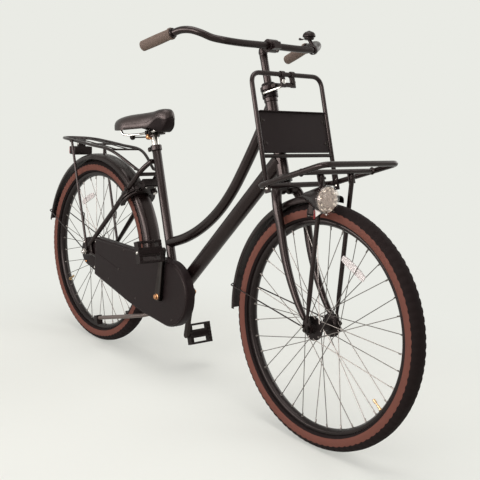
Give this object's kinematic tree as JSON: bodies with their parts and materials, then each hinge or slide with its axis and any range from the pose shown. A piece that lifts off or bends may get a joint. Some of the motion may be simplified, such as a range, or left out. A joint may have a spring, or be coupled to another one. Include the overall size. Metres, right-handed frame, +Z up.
{
  "type": "youth transport bicycle",
  "caption": "Step-through bicycle with front platform carrier and panel, rear rack, closed chain case, mudguards, swept handlebar and centre stand.",
  "frame": {"origin": "on the floor under the middle of the bounding box, both tyres standing on z 0", "axes": "+X forward, +Y to the bicycle's left, +Z up"},
  "size_m": [1.6494, 0.5242, 1.0182],
  "materials": {
    "black_paint": "satin",
    "case_paint": "matt",
    "chain_steel": "oiled",
    "clear_lens": "clear, ribbed",
    "dark_steel": "darkened",
    "grip_brown": "matt",
    "red_lens": "clear red",
    "reflector": "prismatic",
    "rim_black": "satin",
    "saddle_black": "satin",
    "steel": "polished",
    "tyre_black": "matt"
  },
  "bodies": {
    "frame": {"main_frame": "black_paint", "rear_stays": "black_paint", "headset_lower": "dark_steel", "seat_collar": "black_paint", "rear_axle": "dark_steel", "rear_fender": "black_paint", "rear_fender_stay": "black_paint", "chain_case": "case_paint", "chain_case_rear_cap": "rim_black", "chain": "chain_steel", "rear_rack": "black_paint", "rack_stay_right": "black_paint", "rack_stay_left": "black_paint", "rear_lamp_body": "rim_black", "rear_lamp_lens": "red_lens", "ring_lock_body": "rim_black", "stand_hanger": "dark_steel"},
    "steering": {"fork": "black_paint", "headset_upper": "dark_steel", "stem": "black_paint", "handlebar": "black_paint", "grip_right": "grip_brown", "grip_left": "grip_brown", "bell": "rim_black", "front_axle": "dark_steel", "front_fender": "black_paint", "front_fender_stay": "black_paint", "carrier_platform": "black_paint", "carrier_leg_left": "black_paint", "carrier_leg_right": "black_paint", "carrier_hoop": "black_paint", "carrier_panel": "black_paint", "carrier_bracket": "black_paint", "front_lamp_housing": "rim_black", "front_lamp_lens": "clear_lens", "front_lamp_bracket": "rim_black"},
    "front_wheel": {"front_tyre": "tyre_black", "front_rim": "rim_black", "front_hub": "dark_steel", "front_spoke_reflector": "reflector"},
    "rear_wheel": {"rear_tyre": "tyre_black", "rear_rim": "rim_black", "rear_hub": "dark_steel", "rear_spoke_reflector": "reflector"},
    "crankset": {"crank_spindle": "dark_steel", "chainring": "chain_steel", "crank_right": "dark_steel", "crank_left": "dark_steel"},
    "sprocket": {"rear_sprocket": "chain_steel"},
    "right_pedal": {"pedal_right": "rim_black"},
    "left_pedal": {"pedal_left": "rim_black"},
    "stand": {"centre_stand": "dark_steel"},
    "saddle": {"seat_post": "black_paint", "saddle_clamp": "steel", "saddle_rails": "steel", "saddle_base": "rim_black", "saddle_cover": "saddle_black"},
    "bell_thumb_lever": {"bell_lever": "rim_black"},
    "lock_bar": {"ring_lock_shackle": "steel"}
  },
  "joints": [
    {"name": "steering_turn", "type": "hinge", "parent": "frame", "child": "steering", "pos_m": [0.32744, 0, 0.713], "axis": [-0.3338, 0, 0.9426], "range_deg": [-60, 60]},
    {"name": "front_wheel_spin", "type": "hinge", "parent": "steering", "child": "front_wheel", "pos_m": [0.52274, 0, 0.302], "axis": [0, 1, 0], "continuous": true},
    {"name": "rear_wheel_spin", "type": "hinge", "parent": "frame", "child": "rear_wheel", "pos_m": [-0.50866, 0, 0.302], "axis": [0, 1, 0], "continuous": true},
    {"name": "crank_turn", "type": "hinge", "parent": "frame", "child": "crankset", "pos_m": [-0.07356, 0, 0.2493], "axis": [0, 1, 0], "continuous": true},
    {"name": "sprocket_turn", "type": "hinge", "parent": "frame", "child": "sprocket", "pos_m": [-0.50866, 0, 0.302], "axis": [0, 1, 0], "continuous": true},
    {"name": "right_pedal_spin", "type": "hinge", "parent": "crankset", "child": "right_pedal", "pos_m": [-0.05892, -0.116, 0.38853], "axis": [0, 1, 0], "continuous": true},
    {"name": "left_pedal_spin", "type": "hinge", "parent": "crankset", "child": "left_pedal", "pos_m": [-0.08819, 0.1028, 0.11007], "axis": [0, 1, 0], "continuous": true},
    {"name": "stand_swing", "type": "hinge", "parent": "frame", "child": "stand", "pos_m": [-0.12866, 0, 0.226], "axis": [0, -1, 0], "range_deg": [0, 52]},
    {"name": "saddle_height", "type": "slide", "parent": "frame", "child": "saddle", "axis": [-0.3122, 0, 0.95], "range_m": [-0.01, 0.06]},
    {"name": "bell_lever_press", "type": "hinge", "parent": "steering", "child": "bell_thumb_lever", "pos_m": [0.24434, 0.1417, 0.9969], "axis": [-0.0995, 0, 0.995], "range_deg": [0, 25], "stiffness_Nm_per_rad": 0.02, "springref_deg": -5.73},
    {"name": "lock_bar_close", "type": "hinge", "parent": "frame", "child": "lock_bar", "pos_m": [-0.30293, 0, 0.50067], "axis": [0.6947, 0, -0.7193], "range_deg": [0, 134]}
  ],
  "couplings": [
    {"joint": "sprocket_turn", "follows": "crank_turn", "ratio": 2}
  ]
}
